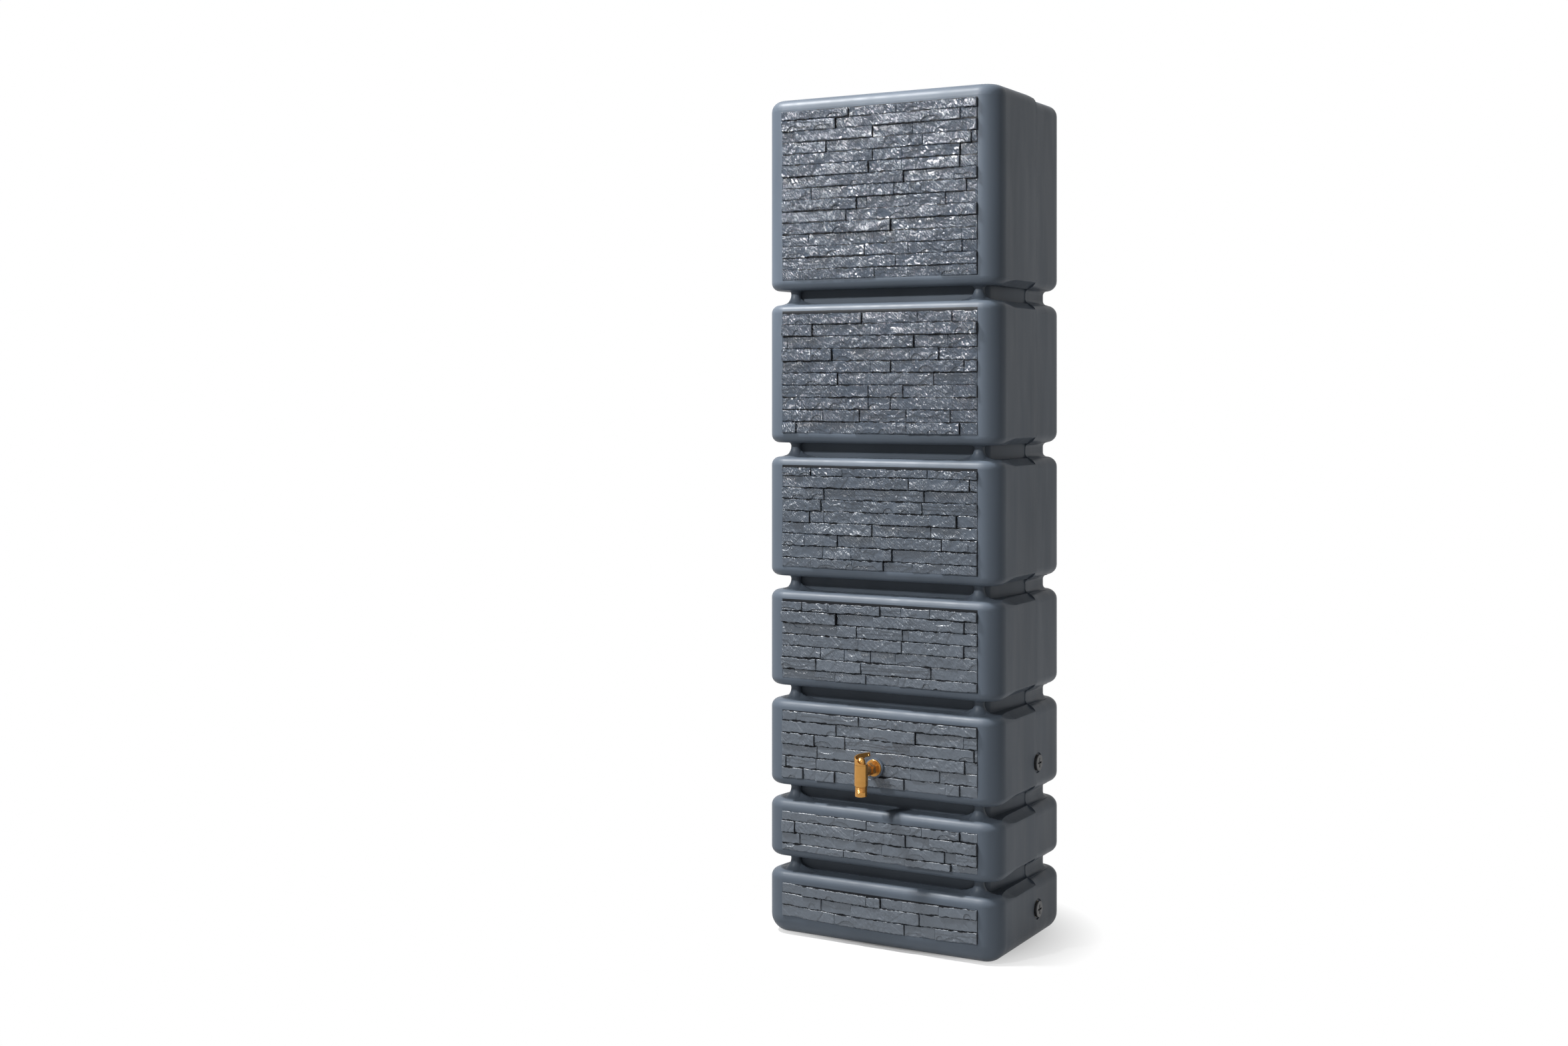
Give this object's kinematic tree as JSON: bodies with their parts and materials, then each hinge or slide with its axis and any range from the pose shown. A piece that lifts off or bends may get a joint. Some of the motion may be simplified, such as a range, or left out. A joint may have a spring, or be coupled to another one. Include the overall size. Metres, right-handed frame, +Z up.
{
  "type": "slimline rain water tank",
  "caption": "Tall slim wall tank for rain water with a stone-look front in stacked tiers, a tap low on the front, screw plugs in the sides and a lid on top.",
  "frame": {"origin": "middle of the tank's foot, on the ground", "axes": "+Z up, front with the tap towards -Y, +X to the right seen from the front"},
  "size_m": [0.571, 0.4537, 1.8685],
  "materials": {
    "tank_plastic": "satin slate-grey polyethylene",
    "lid_plastic": "satin dark grey",
    "seal_rubber": "matt",
    "washer_rubber": "matt grey-blue",
    "tap_plastic": "satin copper-gold",
    "plug_plastic": "satin black",
    "brass": "machined"
  },
  "bodies": {
    "tank": {"tank_body": "tank_plastic", "tap_body": "tap_plastic", "tap_washer": "washer_rubber", "tap_bush": "brass", "plug_bush_left_upper": "brass", "plug_bush_left_lower": "brass", "plug_bush_right_upper": "brass", "plug_bush_right_lower": "brass"},
    "lid": {"lid": "lid_plastic", "lid_seal": "seal_rubber"},
    "tap_valve": {"tap_valve_plug": "tap_plastic", "tap_lever": "tap_plastic", "tap_oring_upper": "seal_rubber", "tap_oring_lower": "seal_rubber"},
    "plug_left_upper": {"plug_left_upper": "plug_plastic", "plug_seal_left_upper": "seal_rubber"},
    "plug_left_lower": {"plug_left_lower": "plug_plastic", "plug_seal_left_lower": "seal_rubber"},
    "plug_right_upper": {"plug_right_upper": "plug_plastic", "plug_seal_right_upper": "seal_rubber"},
    "plug_right_lower": {"plug_right_lower": "plug_plastic", "plug_seal_right_lower": "seal_rubber"}
  },
  "joints": [
    {"name": "lid_lift", "type": "slide", "parent": "tank", "child": "lid", "axis": [0, 0, 1], "range_m": [0, 0.12]},
    {"name": "tap_turn", "type": "hinge", "parent": "tank", "child": "tap_valve", "pos_m": [-0.005, -0.253, 0.393], "axis": [0, 0, 1], "range_deg": [0, 90]},
    {"name": "plug_left_upper_draw", "type": "slide", "parent": "tank", "child": "plug_left_upper", "axis": [-1, 0, 0], "range_m": [0, 0.04]},
    {"name": "plug_left_lower_draw", "type": "slide", "parent": "tank", "child": "plug_left_lower", "axis": [-1, 0, 0], "range_m": [0, 0.04]},
    {"name": "plug_right_upper_draw", "type": "slide", "parent": "tank", "child": "plug_right_upper", "axis": [1, 0, 0], "range_m": [0, 0.04]},
    {"name": "plug_right_lower_draw", "type": "slide", "parent": "tank", "child": "plug_right_lower", "axis": [1, 0, 0], "range_m": [0, 0.04]}
  ]
}
